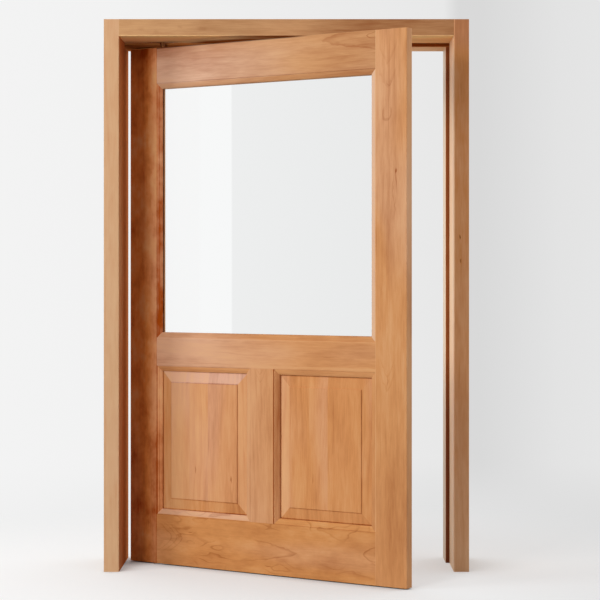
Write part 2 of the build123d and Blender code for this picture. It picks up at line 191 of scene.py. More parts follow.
def arch_lines(f, along, across, arch):
    """A few nested pointed arches of a flat-sawn board, a gap apart.

    Each is a line of equal way*(along - tip) - bend*|across - middle|^1.5.
    """
    off = f.maths("ABSOLUTE", f.less(across, arch.middle))
    run = f.scaled(f.less(along, arch.tip), arch.way)
    depth = f.less(run, f.scaled(f.maths("POWER", off, 1.5), arch.bend))
    phase = f.maths("FRACT", f.scaled(depth, 1 / arch.gap))
    line = f.times(f.ease(phase, *arch_in), f.fade(phase, *arch_out))
    nest_out = arch.gap * (arch.count - 0.5), arch.gap * arch.count
    kept = f.times(f.ease(depth, *nest_in), f.fade(depth, *nest_out))
    return f.times(f.times(line, kept), f.fade(off, arch.width * 0.5, arch.width))


def oval_place(f, along, across, oval):
    """Place along an oval of that half length and half width, and how far out: one on its edge."""
    x = f.scaled(f.less(along, oval.tip), 1 / oval.length)
    y = f.scaled(f.less(across, oval.middle), 1 / oval.width)
    return x, f.length(x, y)


def spot(f, along, across, oval):
    """Soft oval mark: one inside the oval, falling to nothing at its edge."""
    _, far = oval_place(f, along, across, oval)
    return f.fade(far, *mark_out)


def loop_line(f, along, across, oval):
    """Thin line round the lower part of an oval, open at its top."""
    x, far = oval_place(f, along, across, oval)
    off = f.maths("ABSOLUTE", f.scaled(far, 1.0, -1.0))
    return f.times(f.fade(off, *loop_out), f.fade(x, *loop_open))


def within(f, side, share, spans):
    """A share that comes in smoothly over each span, and only where all the spans are past."""
    for axis, low, high in spans:
        share = f.times(f.ease(side[axis], low, high), share)
    return share


def bevel_sides(f, side, low, high):
    """For each of a panel's left, right, bottom and top, in turn, two shares.

    One is full on that side's mitred bevel: a point belongs to the side of the raised field that it
    is furthest past. The other is a soft painted shadow line at the foot of the field on that side.
    """
    past = [
        f.scaled(side["x"], -1.0, low[0]), f.scaled(side["x"], 1.0, -high[0]),
        f.scaled(side["z"], -1.0, low[1]), f.scaled(side["z"], 1.0, -high[1]),
    ]
    for number, own in enumerate(past):
        first, second, third = (other for place, other in enumerate(past) if place != number)
        ahead = f.less(own, f.larger(f.larger(first, second), third))
        nearest = f.ease(ahead, *mitre)
        foot = f.times(f.ease(own, *foot_in), f.fade(own, *foot_out))
        yield f.times(nearest, f.ease(own, *bevel_in)), f.times(nearest, foot)


# Detail of the noises: the simple ones, and the rings' swirl, the mottle and the streaks
simple, swirl_detail = 1.0, 1.5
mottle_detail, mottle_rough = 2.0, 0.6
streak_detail, streak_rough = 4.0, 0.65

# Grain that all boards share, as waves a metre along and across it
sway_waves, pore_waves = (1.6, 6.0, 6.0), (60.0, 900.0, 900.0)
wave_waves, blush_waves = (30.0, 60.0, 60.0), (1.5, 6.0, 6.0)
wave_width = 0.014
stave_shift = 1.7
streak_span, blush_span, patch_span = (0.36, 0.64), (0.45, 0.7), (0.44, 0.64)
ring_full, ring_out = 0.9, (0.92, 1.0)

# Place of each tone on the ramp from deep to the palest, which lies past pale by a share of the way
# from honey, and stays a little under white
middle_tone, tone_scale = 0.5, 0.8
honey_place, rosy_place, pale_place = 0.4, 0.44, 0.8
past_pale, near_white = 0.4, 0.95

# Lacquer: its usual sheen, its roughness and the height of the streaks and pores
satin = 0.12
rough_share, rough_least = 0.2, 0.36
streak_height, pore_height = 0.7, 0.3


def ring_lines(f, log, across, figure):
    """Thin late-wood lines, kept in soft patches.

    They lie where the fraction of a ring count nears one. The count is a swirl of noise plus a
    steady number of rings a metre across the grain.
    """
    swirl = f.scaled(f.cloud(log, figure["swirl"], swirl_detail), figure["levels"])
    phase = f.maths("FRACT", f.add(swirl, f.scaled(across, figure["rings"])))
    late = f.times(f.ease(phase, figure["line_from"], ring_full), f.fade(phase, *ring_out))
    patch = f.ease(f.cloud(log, figure["patch"], simple), *patch_span)
    return f.times(f.scaled(late, -figure["line_share"]), patch)


def toned_colour(f, tone, blush, tones):
    """Colour of a tone from deep to pale, turned to the rosy side by the blush."""
    deep, honey, pale, rosy = tones
    level = f.scaled(tone, tone_scale)
    beyond = (1 + past_pale) * np.array(pale[:3]) - past_pale * np.array(honey[:3])
    palest = (*np.minimum(beyond, near_white).tolist(), 1.0)
    ends = (pale_place, pale), (1.0, palest)
    plain = f.ramp(level, ((0.0, deep), (honey_place, honey), *ends))
    return f.mix(blush, plain, f.ramp(level, ((0.0, deep), (rosy_place, rosy), *ends)))


def timber(name, tones, figure, *, upright, turn, cut, sheen=satin, painted_shade_and_tone=(), rosiness_and_painted_light=(), veils_and_painted_shadow=(),
           arches=(), loops=(), marks=(), staves=(), lines=(), field=None):
    """Satin lacquered timber of one board, its grain upright or level.

    Broad tone, mottle, fine short streaks and thin ring lines are drawn along the grain, read from
    a place in the log where the board was cut. Arches, loops, marks, staves and lines are drawn on
    it. The lines are painted: pale highlights on arrises and mouldings, and dark shade in creases.
    Tone changes by span move a face's tone by a share: mostly painted light and shade, with a few
    plain changes of tone. Rosiness by span makes a face rosier by a share: mostly painted light and a
    painted sheen, and the rosy back of the pivot stile. A veil mixes in a colour: a painted shadow on
    the top rail's arris, and the rosy back of the pivot stile. Field gives a panel's raised field and
    the shares of its bevels, which are painted light and shade.
    """
    material, f = new_finish(name)
    turned = f.node("Mapping", {"Vector": f.place(), "Rotation": (0.0, 0.0, turn)}).outputs[0]
    x, y, z = f.axes(turned)
    side = {"x": x, "y": y, "z": z}
    along, across = (z, x) if upright else (x, z)
    start, tone = f.add(along, cut[0]), middle_tone
    for stave in staves:
        past = f.maths("GREATER_THAN", across, stave.seam)
        start = f.add(start, f.scaled(past, stave_shift))
        tone = f.add(tone, f.scaled(past, stave.step))

    log = f.point(start, f.add(across, cut[1]), f.add(y, cut[2]))
    sway = f.scaled(f.cloud(log, sway_waves, simple), figure["sway"], -figure["sway"] / 2)
    drawn = f.point(start, f.add(across, cut[1], sway), f.add(y, cut[2]))
    streak = f.cloud(drawn, figure["streak"], streak_detail, streak_rough)
    pore = f.cloud(drawn, pore_waves, simple)
    patterns = (
        (f.cloud(log, figure["broad"], simple), figure["broad_share"]),
        (f.cloud(drawn, figure["mottle"], mottle_detail, mottle_rough), figure["mottle_share"]),
        (f.ease(streak, *streak_span), figure["streak_share"]),
    )
    for pattern, share in patterns:
        tone = f.add(tone, f.scaled(pattern, share, -share / 2))
    tone = f.add(tone, ring_lines(f, log, f.add(across, sway), figure))

    wave = f.scaled(f.cloud(log, wave_waves, simple), wave_width, -wave_width / 2)
    for draw, shapes in ((arch_lines, arches), (loop_line, loops)):
        for shape in shapes:
            line = draw(f, f.add(along, wave), f.add(across, wave), shape)
            tone = f.add(tone, f.scaled(line, -shape.share))
    for mark in marks:
        tone = f.add(tone, f.scaled(spot(f, along, f.add(across, wave), mark), -mark.share))
    # Tone changes by span: mostly painted light and shade on faces, mouldings, reveals and the soffit
    for share, *spans in painted_shade_and_tone:
        tone = f.add(tone, within(f, side, share, spans))
    # Lines: pale painted highlights on arrises and mouldings, and dark painted shade in creases
    for line in lines:
        off = f.maths("ABSOLUTE", f.scaled(side[line.axis], 1.0, -line.middle))
        tone = f.add(tone, f.ease(off, line.width * 0.2, line.width, line.share, 0.0))

    blush = f.ease(f.cloud(log, blush_waves, simple), *blush_span, 0.0, figure["blush"])
    # Rosiness by span: mostly painted light on mouldings and a painted sheen, and the pivot stile's rosy back
    for share, *spans in rosiness_and_painted_light:
        blush = f.add(blush, within(f, side, share, spans))
    # The bevels' shares are painted light and shade on them, and the foot is a painted shadow line
    if field:
        low, high, *bevels = field
        for (slope, foot), bevel in zip(bevel_sides(f, side, low, high), bevels):
            tone = f.add(tone, f.scaled(slope, bevel.share), f.scaled(foot, bevel.shadow))
            blush = f.add(blush, f.scaled(slope, bevel.rosier))
    colour = toned_colour(f, tone, blush, tones)
    # A veil mixes in a colour: a painted shadow on the top rail's arris, and the pivot stile's rosy back
    for share, veil, *spans in veils_and_painted_shadow:
        colour = f.mix(within(f, side, share, spans), colour, veil)

    shader = f.node("BsdfPrincipled", {"Base Color": colour, "Specular IOR Level": sheen})
    f.feed(shader.inputs["Roughness"], f.scaled(streak, rough_share, rough_least))
    height = f.add(f.scaled(streak, streak_height), f.scaled(pore, pore_height))
    f.bump(shader, height, strength=0.12, distance=0.0005)
    f.surface(shader)
    return material


# Tones of the timber, from deep through honey to pale, and its rosy side
leaf_tones = tint(140, 68, 22), tint(204, 143, 91), tint(228, 180, 128), tint(210, 160, 126)
top_tones = tint(140, 68, 22), tint(196, 143, 97), tint(222, 180, 132), tint(213, 172, 144)
lock_tones = tint(140, 68, 22), tint(206, 146, 95), tint(228, 182, 130), tint(214, 168, 138)
foot_tones = tint(140, 66, 18), tint(204, 140, 83), tint(230, 184, 132), tint(214, 164, 130)
# The pivot stile: deeper and more orange, standing in for the jamb's shade on its front, a painted shade; its
# rosy side is for the back
stile_tones_with_painted_shade = tint(160, 70, 14), tint(218, 136, 68), tint(228, 178, 122), tint(214, 154, 112)
# The pivot jamb: its deep tone is for the painted shade in the reveal
pivot_tones = tint(180, 106, 58), tint(206, 164, 125), tint(224, 188, 148), tint(208, 164, 132)
panel_tones = tint(140, 68, 22), tint(205, 140, 86), tint(230, 182, 130), tint(218, 170, 144)
# The head: its pale tone is raised for the painted light on the soffit
head_tones = tint(128, 66, 26), tint(204, 158, 112), tint(248, 196, 138), tint(204, 154, 114)
# The latch jamb: its pale tone is for the painted light in the reveal and under the head stop's latch end
latch_tones = tint(124, 64, 24), tint(199, 132, 74), tint(240, 200, 160), tint(200, 140, 98)
# The latch stop: deep for the painted shade on its front, pale for the painted light on its inner face
stop_tones = tint(124, 64, 24), tint(199, 132, 73), tint(226, 205, 174), tint(200, 140, 96)
edge_tones = tint(140, 68, 22), tint(204, 143, 91), tint(228, 184, 138), tint(212, 172, 146)
rosy_stile = stile_tones_with_painted_shade[3]
# Dark colour put on the leaf's top arris: painted shadow of the gap under the head
gap_shade = tint(40, 14, 4)

# Figure of the timber, as waves a metre along and across the grain and shares of tone
calm = dict(
    sway=0.02, blush=0.3,
    broad=(2.4, 10.0, 10.0), broad_share=0.46,
    mottle=(9.0, 42.0, 42.0), mottle_share=0.26,
    streak=(14.0, 190.0, 190.0), streak_share=0.07,
    swirl=(1.6, 6.0, 6.0), levels=2.0, rings=40.0,
    line_from=0.3, line_share=0.08, patch=(2.5, 9.0, 9.0),
)
quiet = dict(calm, broad_share=0.14, mottle_share=0.2, streak_share=0.06)
even = dict(quiet, broad_share=0.3)
lively = dict(
    calm,
    broad=(6.0, 14.0, 14.0), broad_share=0.4,
    mottle=(18.0, 40.0, 40.0), mottle_share=0.28,
    streak_share=0.05,
    swirl=(6.0, 16.0, 16.0), levels=6.0, rings=8.0,
    line_from=0.66, line_share=0.18, patch=(5.0, 12.0, 12.0),
)
curly = dict(
    calm,
    broad=(7.0, 12.0, 12.0), broad_share=0.85,
    mottle=(24.0, 34.0, 34.0), mottle_share=0.6,
    line_share=0.04,
)

# Spans of the frame, each an axis, where a change begins and where it is full. They place the painted light and
# shade on the frame.
front_face, behind_front = ("y", -0.2105, -0.2138), ("y", -0.2138, -0.2105)
pivot_reveal, latch_reveal = ("x", -0.1545, -0.1525), ("x", 1.1465, 1.1445)
deep_in_reveal = ("y", -0.16, 0.08)
pivot_jamb_top, pivot_jamb_low = ("z", 1.2, 2.0), ("z", 1.7, 1.2)
latch_jamb_top, latch_jamb_low, latch_jamb_foot = ("z", 1.98, 2.08), ("z", 2.2, 0.6), ("z", 0.9, 0.1)
soffit = ("z", 2.0785, 2.0755)
soffit_front, soffit_before_stop, soffit_back = ("y", -0.11, -0.2), ("y", 0.0, -0.1), ("y", -0.14, -0.06)
past_pin, past_pivot, head_latch_half = ("x", 0.08, 0.2), ("x", 0.18, 0.36), ("x", 0.45, 0.85)
pivot_end, pivot_third = ("x", 0.4, 0.2), ("x", 0.5, 0.2)
before_latch, latch_end, latch_corner = ("x", 0.9, 0.75), ("x", 0.75, 0.95), ("x", 0.8, 1.0)
stop_front, stop_side, stop_under = ("y", 0.0215, 0.02), ("x", 1.1315, 1.1295), ("z", 2.0625, 2.0605)
stop_past_pivot, stop_pivot_end = ("x", 0.1, 0.4), ("x", 0.35, 0.15)
stop_before_latch, stop_upper, stop_before_back = ("x", 0.9, 0.7), ("z", 2.064, 2.072), ("y", 0.15, 0.1)

# Spans of the leaf, with x across it from the pivot axis and y from its front to its back. Most place painted
# light and shade; behind_leaf places the pivot stile's rosy back.
leaf_front, behind_leaf = ("y", -0.0155, -0.0185), ("y", 0.002, 0.014)
moulded_left, moulded_right = ("x", -0.0125, -0.009), ("x", 1.0045, 1.001)
moulded_top, moulded_sill = ("z", 1.9105, 1.907), ("z", 0.9005, 0.904)
moulded_lock, moulded_foot = ("z", 0.7895, 0.786), ("z", 0.1995, 0.203)
muntin_left, muntin_right = ("x", 0.439, 0.436), ("x", 0.5525, 0.556)
beside_moulding, by_glass = ("x", -0.07, -0.02), ("z", 0.85, 0.92)
pivot_stile_top, pivot_stile_low, pivot_stile_foot = ("z", 1.98, 2.045), ("z", 0.9, 0.2), ("z", 0.9, 0.3)
moulding_foot, latch_stile_foot = ("z", 0.5, 0.2), ("z", 0.6, 0.1)
whole_top_rail, top_rail_edge, top_arris = ("z", 1.8, 1.85), ("z", 1.985, 2.05), ("z", 2.0475, 2.053)
top_rail_upper, top_rail_blush = ("z", 1.96, 2.03), ("z", 1.96, 2.04)
by_pivot_stile, top_corner, arris_end = ("x", 0.35, 0.0), ("x", 0.22, 0.02), ("x", 0.75, 0.6)
pivot_half, blush_half = ("x", 0.6, 0.3), ("x", 0.6, 0.25)
bottom_rail_low, under_left_panel = ("z", 0.3, 0.1), ("x", 0.5, 0.4)
whole_left_panel, left_panel_side, left_panel_edge = ("x", -0.1, 0.0), ("x", 0.4, 0.3), ("x", 0.17, 0.08)
# Rosier towards the pivot side: a painted sheen
rosy_painted_sheen_left = (0.8, ("x", 0.8, 0.05))

dress(
    timber(
        "pivot_jamb_timber", pivot_tones, quiet, upright=True, turn=no_turn, cut=(3.1, 0.4, 0.2), sheen=0.0,
        # Painted shade: the face a little darker at the top, the reveal darker and deepest far in, a little
        # lighter low down
        painted_shade_and_tone=(
            (-0.05, pivot_jamb_top), (-0.4, pivot_reveal, behind_front),
            (0.08, pivot_reveal, pivot_jamb_low), (-0.3, pivot_reveal, deep_in_reveal),
        ),
        marks=(Oval(1.827, -0.1449, 0.02, 0.006, 0.5),),
    ),
    "left_jamb",
)
dress(
    timber(
        "latch_jamb_timber", latch_tones, quiet, upright=True, turn=no_turn, cut=(5.7, 0.9, 0.6), sheen=0.1,
        # Painted light and shade: the face darker and rosier at the top and lighter low down, the reveal pale;
        # the line is a painted highlight on the reveal's arris
        painted_shade_and_tone=(
            (-0.16, front_face, latch_jamb_top), (0.14, latch_jamb_low),
            (0.14, latch_jamb_foot), (0.45, latch_reveal, behind_front),
        ),
        rosiness_and_painted_light=((0.8, front_face, latch_jamb_top),),
        lines=(Line("x", 1.1465, 0.003, 0.3),),
        marks=(Oval(1.2965, 1.168, 0.012, 0.005, 0.6), Oval(1.2036, 1.1718, 0.012, 0.005, 0.4)),
    ),
    "right_jamb",
)
dress(
    timber(
        "head_timber", head_tones, even, upright=False, turn=no_turn, cut=(8.3, 1.3, 0.1), sheen=0.0,
        # Painted light and shade: the front face darker towards the latch side; the soffit pale at the front and
        # at both ends, dark in the middle and towards the back; the line is a painted highlight on the lower
        # arris
        painted_shade_and_tone=(
            (-0.11, front_face), (-0.19, front_face, head_latch_half),
            (0.3, soffit, soffit_front, pivot_end), (0.3, soffit, soffit_front, latch_end),
            (0.35, soffit, soffit_before_stop, pivot_third), (-0.6, soffit, past_pivot, before_latch),
            (-0.7, soffit, soffit_back, past_pin, before_latch), (0.3, soffit, latch_corner),
        ),
        lines=(Line("z", 2.0768, 0.003, 0.25),),
        marks=(
            Oval(-0.067, 2.102, 0.02, 0.01, 0.06), Oval(-0.009, 2.09, 0.016, 0.01, 0.06),
            Oval(0.084, 2.1095, 0.016, 0.008, 0.08), Oval(0.169, 2.102, 0.03, 0.009, 0.07),
        ),
    ),
    "head",
)
dress(
    timber(
        "head_stop_timber", latch_tones, quiet, upright=False, turn=no_turn, cut=(1.9, 2.3, 0.7), sheen=0.0,
        # Painted shade on the front, lighter at its top by the pivot, and painted light under the latch end
        painted_shade_and_tone=(
            (-0.15, stop_front), (-0.35, stop_front, stop_past_pivot),
            (0.4, stop_front, stop_pivot_end, stop_upper), (0.45, stop_under, latch_end),
            (-0.25, stop_before_latch, stop_before_back),
        ),
    ),
    "head_stop",
)
dress(
    timber(
        "latch_stop_timber", stop_tones, quiet, upright=True, turn=no_turn, cut=(2.6, 2.9, 0.3), sheen=0.3,
        # Painted shade on the front, painted light on the inner face
        painted_shade_and_tone=((-0.5, stop_front), (0.45, stop_side)),
    ),
    "right_stop",
)
dress(
    timber(
        "pivot_stile_timber", stile_tones_with_painted_shade, curly, upright=True, turn=leaf_turn, cut=(4.4, 3.7, 0.5), sheen=0.03,
        # Painted shadow of the head at the top, painted light beside the moulding with less of it low down, the
        # moulding darker by the glass, and painted shade in its creases from the lines; darker low down
        painted_shade_and_tone=(
            (-0.12, pivot_stile_low), (-0.32, pivot_stile_top),
            (0.12, beside_moulding), (-0.24, beside_moulding, pivot_stile_foot),
            (0.05, moulded_left), (-0.42, moulded_left, by_glass), (0.2, moulded_left, moulding_foot),
        ),
        rosiness_and_painted_light=((0.6, beside_moulding), (1.0, behind_leaf), (0.35, moulded_left, by_glass)),
        veils_and_painted_shadow=((0.55, rosy_stile, behind_leaf),),
        lines=(Line("x", -0.0135, 0.003, -0.4), Line("x", -0.0035, 0.002, -0.2)),
    ),
    "left_stile",
)
dress(
    timber(
        "latch_stile_timber", edge_tones, calm, upright=True, turn=leaf_turn, cut=(6.1, 4.2, 0.8),
        # Darker towards the foot; painted light on the moulding by the glass, rosier there, with a painted
        # highlight line along it
        painted_shade_and_tone=((-0.1, latch_stile_foot), (0.03, moulded_right), (0.16, moulded_right, by_glass)),
        rosiness_and_painted_light=((1.0, moulded_right, by_glass),),
        lines=(Line("x", 1.0055, 0.003, 0.25),),
        arches=(
            Arch(1.832, 1.058, 1.0, 9.0, 0.09, 2, 0.05, 0.06),
            Arch(0.72, 1.057, 1.0, 12.0, 0.05, 2, 0.04, 0.08),
        ),
        loops=(Oval(1.7475, 1.056, 0.028, 0.017, 0.12), Oval(1.858, 1.064, 0.014, 0.01, 0.08)),
        marks=(
            Oval(1.5299, 1.0943, 0.014, 0.004, 0.3), Oval(1.49, 1.094, 0.05, 0.004, 0.22),
            Oval(1.46, 1.082, 0.06, 0.004, 0.16), Oval(1.4, 1.09, 0.05, 0.004, 0.14),
            Oval(0.75, 1.057, 0.035, 0.003, 0.25),
        ),
    ),
    "right_stile",
)
dress(
    timber(
        "muntin_timber", leaf_tones, calm, upright=True, turn=leaf_turn, cut=(7.5, 5.1, 0.4),
        # Painted shade on the moulding on its right and painted light on its left; the lines are painted shade
        # in the creases
        painted_shade_and_tone=((-0.22, muntin_right), (0.05, muntin_left)),
        rosiness_and_painted_light=(rosy_painted_sheen_left,),
        lines=(Line("x", 0.4405, 0.002, -0.14), Line("x", 0.5495, 0.003, -0.6)),
        arches=(Arch(0.735, 0.487, 1.0, 12.0, 0.03, 2, 0.035, 0.08),),
    ),
    "muntin",
)
dress(
    timber(
        "top_rail_timber", top_tones, calm, upright=False, turn=leaf_turn, cut=(9.2, 6.3, 0.9),
        # Painted shadow of the head on the corner by the pivot stile, with the dark veil along the top arris;
        # painted light near the pivot stile; a little darker overall, the moulding a little darker, and painted
        # shade in its crease from the line
        painted_shade_and_tone=(
            (-0.08, whole_top_rail), (0.14, by_pivot_stile), (-0.3, top_rail_edge, top_corner),
            (-0.07, top_rail_upper, pivot_half), (-0.04, moulded_top),
        ),
        rosiness_and_painted_light=(rosy_painted_sheen_left, (-0.3, top_rail_blush, blush_half), (-0.4, moulded_top)),
        veils_and_painted_shadow=((0.9, gap_shade, top_arris, leaf_front, arris_end),),
        lines=(Line("z", 1.9115, 0.002, -0.14),),
        arches=(
            Arch(0.765, 2.03, 1.0, 22.0, 0.2, 1, 0.09, 0.14),
            Arch(0.965, 2.034, 1.0, 24.0, 0.03, 1, 0.03, 0.24),
        ),
    ),
    "top_rail",
)
dress(
    timber(
        "lock_rail_timber", lock_tones, calm, upright=False, turn=leaf_turn, cut=(0.7, 7.1, 0.2),
        # Painted shade on the mouldings; the lines are painted highlights
        painted_shade_and_tone=((-0.02, moulded_lock), (-0.06, moulded_sill)),
        rosiness_and_painted_light=(rosy_painted_sheen_left, (-0.8, moulded_lock), (-0.3, moulded_sill)),
        lines=(Line("z", 0.8985, 0.002, 0.14), Line("z", 0.798, 0.008, 0.1)),
        marks=(Oval(0.8065, 0.842, 0.06, 0.002, 0.14),),
    ),
    "lock_rail",
)
dress(
    timber(
        "bottom_rail_timber", foot_tones, lively, upright=False, turn=leaf_turn, cut=(3.9, 2.2, 0.9),
        # Darker towards the bottom; painted highlight on the upward moulding, rosier under the left panel; the
        # line is painted shade at the panel's foot
        painted_shade_and_tone=((-0.06, bottom_rail_low), (0.04, moulded_foot), (0.1, moulded_foot, under_left_panel)),
        rosiness_and_painted_light=((1.0, moulded_foot, under_left_panel),),
        lines=(Line("z", 0.1985, 0.002, -0.14),),
        arches=(
            Arch(0.115, 0.112, -1.0, 5.0, 0.026, 3, 0.07, 0.11),
            Arch(0.662, 0.093, -1.0, 24.0, 0.14, 1, 0.055, 0.16),
            Arch(0.948, 0.115, 1.0, 10.0, 0.05, 1, 0.04, 0.18),
        ),
        marks=(Oval(0.151, 0.139, 0.016, 0.003, 0.25), Oval(0.524, 0.0364, 0.02, 0.003, 0.25)),
    ),
    "bottom_rail",
)
dress(
    timber(
        "left_panel_timber", panel_tones, calm, upright=True, turn=leaf_turn, cut=(2.2, 9.4, 0.3),
        # Painted light towards the pivot side against the jamb's shade; the bevels and the field's foot carry
        # painted light and shade, and the lines painted shade at the edges
        painted_shade_and_tone=((0.07, left_panel_side), (0.12, left_panel_edge)),
        rosiness_and_painted_light=((0.15, whole_left_panel),),
        field=(
            (0.053, 0.266), (0.373, 0.723),
            Bevel(-0.08, -0.6, -0.3), Bevel(0.16, 0.0, -0.26), Bevel(-0.03, -0.3, -0.24), Bevel(0.05, 0.9, -0.3),
        ),
        lines=(
            Line("x", 0.009, 0.004, -0.5), Line("x", 0.417, 0.003, -0.2),
            Line("z", 0.767, 0.004, -0.04), Line("z", 0.222, 0.004, -0.4),
        ),
        staves=(Stave(0.1437, 0.05), Stave(0.2328, -0.08)),
        marks=(Oval(0.384, 0.1707, 0.02, 0.003, 0.3), Oval(0.355, 0.345, 0.02, 0.003, 0.3)),
    ),
    "left_panel",
)
dress(
    timber(
        "right_panel_timber", panel_tones, calm, upright=True, turn=leaf_turn, cut=(3.6, 10.5, 0.7),
        # The bevels and the field's foot carry painted light and shade, and the lines painted shade at the edges
        field=(
            (0.619, 0.266), (0.939, 0.723),
            Bevel(0.17, 0.0, 0.0), Bevel(0.06, 0.0, -0.24), Bevel(-0.03, -0.3, -0.22), Bevel(0.0, 0.0, 0.0),
        ),
        lines=(
            Line("x", 0.575, 0.004, -0.5), Line("x", 0.983, 0.003, -0.25),
            Line("z", 0.767, 0.004, -0.24), Line("z", 0.222, 0.004, -0.4),
        ),
        staves=(Stave(0.7071, 0.04), Stave(0.7912, -0.06)),
        marks=(Oval(0.381, 0.7258, 0.025, 0.003, 0.3),),
    ),
    "right_panel",
)
dress(
    timber("upright_bead_timber", leaf_tones, calm, upright=True, turn=leaf_turn, cut=(5.2, 11.3, 0.1)),
    "bead_left", "bead_right",
)
dress(
    timber("level_bead_timber", leaf_tones, calm, upright=False, turn=leaf_turn, cut=(6.8, 12.1, 0.5)),
    "bead_top", "bead_bottom",
)

# Glass: its body, how strongly it bends light, and its dulled patches and slow waves
glass_body, glass_bend = tint(254, 255, 255), 1.2
dull_waves, dull_span, dull_most = (9.0, 9.0, 9.0), (0.45, 0.8), 0.02
drawn_waves = (5.0, 5.0, 1.2)

# Metal: tool lines along the cut, as waves a metre, and how far they change the roughness
brushed_lines, turned_lines, stamped_lines = (40.0, 900.0, 40.0), (30.0, 30.0, 1500.0), (300.0, 300.0, 300.0)
patina_waves, patina_span, line_rough = (60.0, 60.0, 60.0), (0.35, 0.7), 0.2
bright_rough, browned_rough = 0.26, 0.5

# Rubber: its grain and dust, as waves a metre, and its roughness
rubber_waves, dust_waves, dust_span = (700.0, 700.0, 700.0), (30.0, 30.0, 30.0), (0.4, 0.75)
grain_rough, rubber_rough = 0.2, 0.65


def clear_glass():
    """Clear float glass with a faint green body, which lets lamps through.

    It is drawn in slow waves and a little dulled in patches.
    """
    material, f = new_finish("clear_float_glass")
    place = f.place()
    body = {"Base Color": glass_body, "IOR": glass_bend, "Transmission Weight": 1.0}
    glass = f.node("BsdfPrincipled", body)
    dulled = f.ease(f.cloud(place, dull_waves, 3.0), *dull_span, 0.0, dull_most)
    f.feed(glass.inputs["Roughness"], dulled)
    f.bump(glass, f.cloud(place, drawn_waves, simple), strength=0.05, distance=0.0005)
    open_air = f.node("BsdfTransparent", {"Color": glass_body})
    lamp_ray = f.node("LightPath").outputs["Is Shadow Ray"]
    f.surface(f.blend(lamp_ray, glass, open_air))
    return material


def worked_metal(name, colour, dark, stretch, rough):
    """Metal with fine tool lines: colour, roughness and height from noise drawn out along the cut."""
    material, f = new_finish(name)
    place = f.place()
    line = f.cloud(place, stretch, 2.0)
    patina = f.ease(f.cloud(place, patina_waves, 3.0), *patina_span)
    shader = f.node("BsdfPrincipled", {"Metallic": 1.0, "Base Color": f.mix(patina, colour, dark)})
    f.feed(shader.inputs["Roughness"], f.scaled(line, line_rough, rough))
    f.bump(shader, line, strength=0.2, distance=0.0002)
    f.surface(shader)
    return material


def soft_rubber(name, colour, worn):
    """Matte rubber with a fine grain and faint dust."""
    material, f = new_finish(name)
    place = f.place()
    grain = f.cloud(place, rubber_waves, 2.0)
    dust = f.ease(f.cloud(place, dust_waves, 3.0), *dust_span)
    shader = f.node("BsdfPrincipled", {"Base Color": f.mix(dust, colour, worn)})
    f.feed(shader.inputs["Roughness"], f.scaled(grain, grain_rough, rubber_rough))
    f.bump(shader, grain, strength=0.3, distance=0.0002)
    f.surface(shader)
    return material


dress(clear_glass(), "glass_pane")
dress(soft_rubber("glazing_tape_rubber", tint(52, 50, 48), tint(84, 80, 76)), "front_tape", "back_tape")
dress(soft_rubber("setting_block_rubber", tint(60, 60, 62), tint(96, 95, 94)), "setting_blocks")
dress(
    worked_metal("brushed_pivot_steel", tint(186, 184, 180), tint(150, 147, 143), brushed_lines, bright_rough),
    "top_shoe", "bottom_shoe", "floor_plate",
)
dress(
    worked_metal("browned_pivot_steel", tint(196, 136, 88), tint(166, 110, 68), brushed_lines, browned_rough),
    "head_plate",
)
dress(
    worked_metal("browned_pin_steel", tint(182, 128, 82), tint(146, 98, 58), turned_lines, browned_rough),
    "top_pin", "lock_nut", "floor_spindle",
)
dress(
    worked_metal("turned_bronze", tint(205, 160, 96), tint(160, 116, 62), turned_lines, bright_rough),
    "top_bush", "bottom_bush", "thrust_disc",
)
dress(
    worked_metal("zinc_plated_screw", tint(214, 202, 166), tint(176, 164, 130), stamped_lines, bright_rough),
    "head_screws", "head_plate_screws", "top_shoe_screws", "bottom_shoe_screws",
)


def seen_ray(f):
    """One for what the camera, a mirror or glass shows, and nothing for light that falls on the door."""
    path = f.node("LightPath").outputs
    shown = f.larger(path["Is Camera Ray"], path["Is Glossy Ray"])
    return f.larger(shown, path["Is Transmission Ray"])


# Backdrop: greys from left to right straight behind the door, darker towards the right as painted shade, with a
# painted shadow of the frame in the dip just right of the latch jamb, and the paler patch of painted light low
# on the left
backdrop_greys = (
    (0.1, 243), (0.25, 242), (0.36, 239), (0.5, 236), (0.6, 234), (0.672, 232),
    (0.69, 217), (0.72, 217), (0.76, 221), (0.82, 227), (0.9, 230),
)
backdrop_spread, backdrop_middle = 2.5, 0.5
patch_left, patch_right, patch_top = (-0.104, -0.066), (-0.0409, -0.0399), (0.126, 0.133)
straight_behind, plain_grey, patch_grey = (0.94, 0.97), 236, 248


def backdrop_tone(f, x, y, z):
    """Pale tone of the backdrop in a direction.

    Straight behind the door it is paler on the left, and palest low on the left: painted light, darker to the
    right and with a painted shadow right of the latch jamb. Elsewhere it is plain.
    """
    stops = [(place, grey(level)) for place, level in backdrop_greys]
    level = f.ramp(f.scaled(x, backdrop_spread, backdrop_middle), stops)
    patch = f.times(f.fade(x, *patch_right), f.ease(x, *patch_left))
    patch = f.times(patch, f.fade(z, *patch_top))
    behind = f.mix(patch, level, grey(patch_grey))
    return f.mix(f.ease(y, *straight_behind), grey(plain_grey), behind)


# Floor: its rings, its paint and the light that it is given, with the shade near the door's feet
floor_middle, floor_radius, floor_rings, floor_turns = 0.5, 5.2, 14, 96
